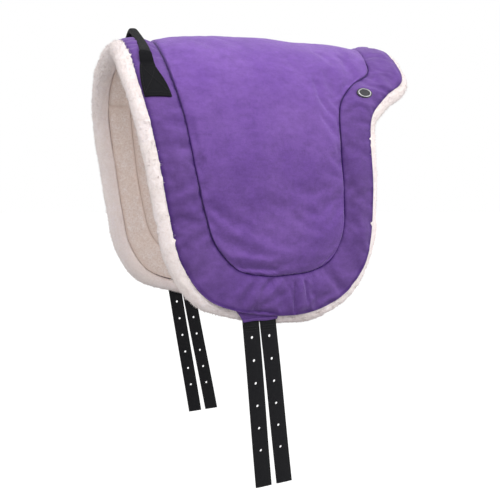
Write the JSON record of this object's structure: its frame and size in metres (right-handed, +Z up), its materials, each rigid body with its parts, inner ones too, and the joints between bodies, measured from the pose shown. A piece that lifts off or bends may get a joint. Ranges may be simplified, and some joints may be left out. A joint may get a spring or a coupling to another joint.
{
  "type": "bareback pad",
  "caption": "Fleece-lined bareback riding pad draped over a horse's back, with a stitched border, a webbing grab handle and hanging girth straps.",
  "frame": {"origin": "on the underside of the pad's spine, midway between the front and rear of its straight middle, where the horse's back carries it", "axes": "+X along the spine towards the tail, +Y to the horse's right (off) side, +Z up"},
  "size_m": [0.4776, 0.3588, 0.6812],
  "materials": {
    "suede": "soft purple microsuede with a short brushed nap",
    "fleece": "cream short-pile synthetic fleece",
    "lining": "cream synthetic fleece lining, pressed flat",
    "foam": "closed-cell foam padding",
    "webbing": "black woven polypropylene webbing",
    "badge": "dark matt moulded rubber",
    "badge_rim": "silver-grey satin rim"
  },
  "bodies": {
    "pad": {"seat_cover": "suede", "border_cover": "suede", "seat_foam": "foam", "border_foam_left": "foam", "border_foam_right": "foam", "gullet_lining": "lining", "lining_panel_left": "lining", "lining_panel_right": "lining", "lining_border_left": "lining", "lining_border_right": "lining", "edge_roll": "fleece", "billet_tab_left": "suede", "billet_tab_right": "suede", "billet_anchor_left_front": "webbing", "billet_anchor_left_rear": "webbing", "billet_anchor_right_front": "webbing", "billet_anchor_right_rear": "webbing", "handle_foot_left": "webbing", "handle_foot_right": "webbing", "badge_base": "badge", "badge_rim": "badge_rim"},
    "billet_left_front": {"billet_left_front": "webbing"},
    "billet_left_rear": {"billet_left_rear": "webbing"},
    "billet_right_front": {"billet_right_front": "webbing"},
    "billet_right_rear": {"billet_right_rear": "webbing"},
    "handle": {"handle_grip": "webbing"}
  },
  "joints": [
    {"name": "billet_left_front_fold", "type": "hinge", "parent": "pad", "child": "billet_left_front", "pos_m": [-0.05675, -0.17009, -0.3957], "axis": [-1, 0, 0], "range_deg": [-42, 80]},
    {"name": "billet_left_rear_fold", "type": "hinge", "parent": "pad", "child": "billet_left_rear", "pos_m": [-0.03025, -0.17009, -0.3957], "axis": [-1, 0, 0], "range_deg": [-42, 80]},
    {"name": "billet_right_front_fold", "type": "hinge", "parent": "pad", "child": "billet_right_front", "pos_m": [-0.05675, 0.17009, -0.3957], "axis": [1, 0, 0], "range_deg": [-42, 80]},
    {"name": "billet_right_rear_fold", "type": "hinge", "parent": "pad", "child": "billet_right_rear", "pos_m": [-0.03025, 0.17009, -0.3957], "axis": [1, 0, 0], "range_deg": [-42, 80]},
    {"name": "handle_tilt", "type": "hinge", "parent": "pad", "child": "handle", "pos_m": [-0.183, 0, -0.02845], "axis": [0, 1, 0], "range_deg": [-25, 20], "stiffness_Nm_per_rad": 0.3}
  ]
}
